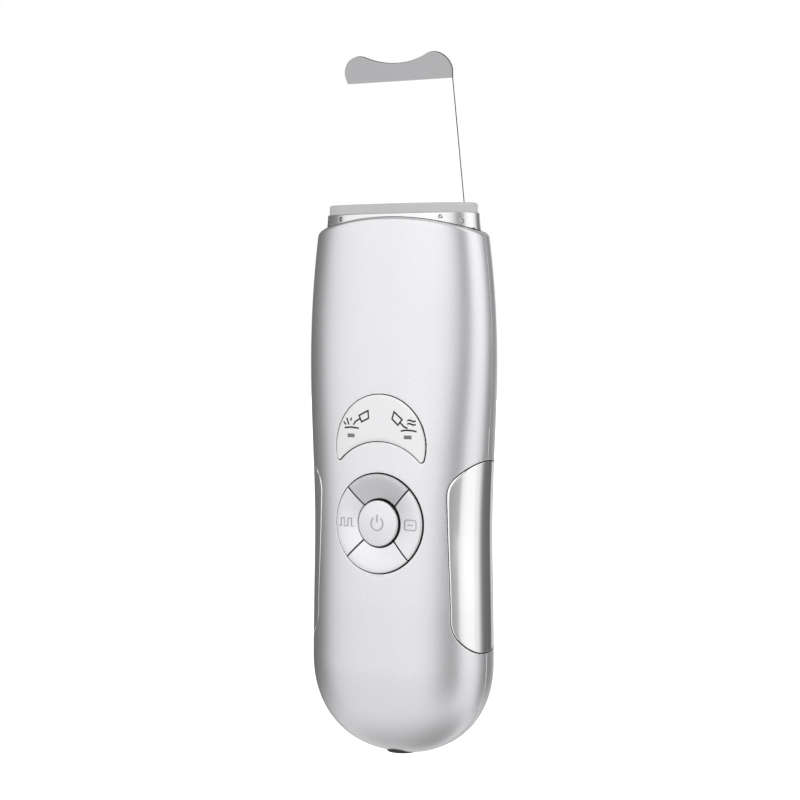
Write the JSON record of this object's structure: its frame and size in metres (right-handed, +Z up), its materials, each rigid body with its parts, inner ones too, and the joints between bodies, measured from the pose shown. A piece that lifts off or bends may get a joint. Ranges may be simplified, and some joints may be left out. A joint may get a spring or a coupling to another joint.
{
  "type": "ultrasonic skin scrubber",
  "caption": "Handheld ultrasonic skin scrubber: flat bent-tip blade on a rounded battery handset with a key disc and side electrode plates.",
  "frame": {"origin": "lowest point of the housing's round end, on the parting plane and the plane of symmetry", "axes": "+Z up the handset towards the blade, -Y the face with the keys, +Y the back, +X to the right when the keys face the viewer"},
  "size_m": [0.0526, 0.0257, 0.1833],
  "materials": {
    "silver_paint": "fine metallic silver paint",
    "bright_silver": "bright silver plating",
    "grey_silicone": "matte",
    "stainless": "polished",
    "screw_steel": "satin",
    "horn_metal": "turned",
    "piezo_ceramic": "fired silver faces",
    "contact_brass": "satin",
    "contact_nickel": "nickel plated",
    "white_plastic": "matte",
    "mass_steel": "turned",
    "dark_rubber": "matte",
    "key_silver": "fine metallic silver paint",
    "black_plastic": "satin",
    "switch_plastic": "matte",
    "board_green": "solder resist",
    "lens_plastic": "satin silver film",
    "clear_plastic": "clear",
    "led_plastic": "clear",
    "plate_chrome": "polished",
    "battery_wrap": "foil wrap",
    "ferrite": "matte",
    "copper_wire": "enamelled copper",
    "capacitor_sleeve": "sleeve",
    "red_wire": "insulation",
    "pale_wire": "insulation",
    "blue_wire": "insulation",
    "black_wire": "insulation"
  },
  "bodies": {
    "handset": {"front_housing": "silver_paint", "rear_housing": "silver_paint", "neck_collar": "bright_silver", "blade_seal": "grey_silicone", "blade": "stainless", "blade_screws": "screw_steel", "horn": "horn_metal", "piezo_ring_upper": "piezo_ceramic", "piezo_ring_lower": "piezo_ceramic", "electrode_ring_upper": "contact_brass", "electrode_ring_lower": "contact_brass", "insulator_tube": "white_plastic", "back_mass": "mass_steel", "transducer_bolt": "screw_steel", "transducer_boots": "dark_rubber", "key_switches": "switch_plastic", "main_board": "board_green", "indicator_lens": "lens_plastic", "light_pipes": "clear_plastic", "mode_leds": "led_plastic", "left_electrode_plate": "plate_chrome", "right_electrode_plate": "plate_chrome", "plate_nuts": "screw_steel", "battery_pack": "battery_wrap", "battery_pad": "dark_rubber", "dc_socket": "black_plastic", "dc_contact_pin": "contact_nickel", "dc_contact_spring": "contact_brass", "housing_screws": "screw_steel", "screw_plugs": "silver_paint", "board_screws": "screw_steel", "transformer_core": "ferrite", "transformer_coil": "copper_wire", "control_chip": "black_plastic", "power_transistors": "black_plastic", "smoothing_capacitor": "capacitor_sleeve", "wire_connectors": "white_plastic", "battery_wires": "red_wire", "transducer_wires": "pale_wire", "plate_wires": "blue_wire", "dc_wires": "black_wire"},
    "on_off_key_body": {"on_off_key": "key_silver", "on_off_plunger": "black_plastic"},
    "pulse_key_body": {"pulse_key": "key_silver", "pulse_plunger": "black_plastic"},
    "pad_key_body": {"pad_key": "key_silver", "pad_plunger": "black_plastic"},
    "upper_key_body": {"upper_key": "key_silver", "upper_plunger": "black_plastic"},
    "lower_key_body": {"lower_key": "key_silver", "lower_plunger": "black_plastic"}
  },
  "joints": [
    {"name": "on_off_press", "type": "slide", "parent": "handset", "child": "on_off_key_body", "axis": [0, 1, 0], "range_m": [0, 0.0003]},
    {"name": "pulse_press", "type": "slide", "parent": "handset", "child": "pulse_key_body", "axis": [0, 1, 0], "range_m": [0, 0.0003]},
    {"name": "pad_press", "type": "slide", "parent": "handset", "child": "pad_key_body", "axis": [0, 1, 0], "range_m": [0, 0.0003]},
    {"name": "upper_press", "type": "slide", "parent": "handset", "child": "upper_key_body", "axis": [0, 1, 0], "range_m": [0, 0.0003]},
    {"name": "lower_press", "type": "slide", "parent": "handset", "child": "lower_key_body", "axis": [0, 1, 0], "range_m": [0, 0.0003]}
  ]
}
